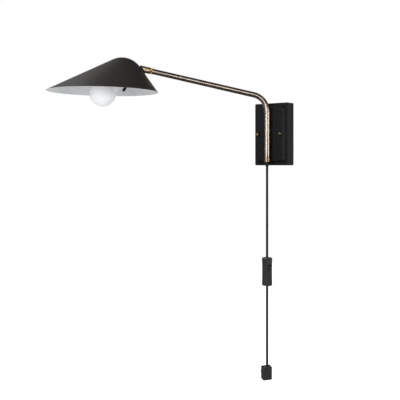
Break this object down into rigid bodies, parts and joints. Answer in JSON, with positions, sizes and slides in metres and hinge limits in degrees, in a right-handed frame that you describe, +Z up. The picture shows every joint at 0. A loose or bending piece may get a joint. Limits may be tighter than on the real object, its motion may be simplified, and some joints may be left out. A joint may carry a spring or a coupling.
{
  "type": "swing-arm wall lamp",
  "caption": "Plug-in wall lamp: a bent brass arm swings on an upright tube before a black plate and carries a tilting, lopsided cone shade over a round bulb; its cord has a rocker switch.",
  "frame": {"origin": "middle of the wall bracket's back face, on the wall", "axes": "+Z up, +Y into the wall, +X to the right of someone who faces the wall"},
  "size_m": [0.5743, 0.4988, 0.9172],
  "materials": {
    "black_plate": "matte",
    "zinc_steel": "satin",
    "spring_steel": "satin",
    "antique_brass": "satin",
    "golden_brass": "satin",
    "bronze": "satin",
    "white_nylon": "satin",
    "black_cord": "satin",
    "black_rubber": "matte",
    "black_plastic": "satin",
    "plated_brass": "satin",
    "black_shade": "matte",
    "white_steel": "gloss",
    "white_porcelain": "gloss",
    "frosted_glass": "satin",
    "white_plastic": "satin",
    "nickel": "satin"
  },
  "bodies": {
    "wall_part": {"ball_nuts": "golden_brass", "bottom_collar": "golden_brass", "canopy_cover": "black_plate", "canopy_studs": "zinc_steel", "cord_lower": "black_cord", "cord_strain_relief": "black_rubber", "cord_upper": "black_cord", "mounting_bracket": "zinc_steel", "pivot_bushes": "bronze", "plug_blades": "plated_brass", "plug_body": "black_plastic", "plug_flange": "black_plastic", "post_screws": "zinc_steel", "post_washers": "zinc_steel", "rocker_pin": "zinc_steel", "seam_washer": "white_nylon", "stud_nuts": "zinc_steel", "switch_back_shell": "black_plastic", "switch_contacts": "plated_brass", "switch_front_shell": "black_plastic", "switch_leads": "black_cord", "switch_screws": "zinc_steel", "tube_lead": "black_cord", "tube_posts": "antique_brass", "wall_tube": "antique_brass"},
    "arm": {"arm_spigot": "bronze", "pivot_wave_washer": "spring_steel", "pivot_clip": "spring_steel", "arm_tube": "antique_brass", "arm_lead": "black_cord", "swivel_arm_half": "golden_brass", "swivel_friction_washer": "white_nylon"},
    "shade_head": {"swivel_shade_half": "golden_brass", "swivel_screw": "zinc_steel", "shade_gasket": "black_rubber", "shade": "black_shade", "saddle_washer": "zinc_steel", "shade_nipple": "zinc_steel", "nipple_nut": "zinc_steel", "socket_bracket": "white_steel", "holder_screws": "zinc_steel", "socket_cap": "white_porcelain", "lamp_lead": "black_cord", "socket_body": "white_porcelain", "socket_screw_shell": "plated_brass", "socket_contact": "plated_brass", "bulb_globe": "frosted_glass", "bulb_collar": "white_plastic", "bulb_cap": "nickel", "bulb_contact": "nickel"},
    "rocker": {"switch_rocker": "black_plastic"}
  },
  "joints": [
    {"name": "arm_swing", "type": "hinge", "parent": "wall_part", "child": "arm", "pos_m": [0, -0.052, 0.063], "axis": [0, 0, 1], "range_deg": [-24, 126]},
    {"name": "shade_tilt", "type": "hinge", "parent": "arm", "child": "shade_head", "pos_m": [-0.26097, -0.26333, 0.18053], "axis": [-0.6293, 0.7771, 0], "range_deg": [-40, 45]},
    {"name": "switch_rocker_tilt", "type": "hinge", "parent": "wall_part", "child": "rocker", "pos_m": [0.00664, -0.05293, -0.39095], "axis": [0.1392, 0.9903, 0], "range_deg": [-16, 0]}
  ]
}
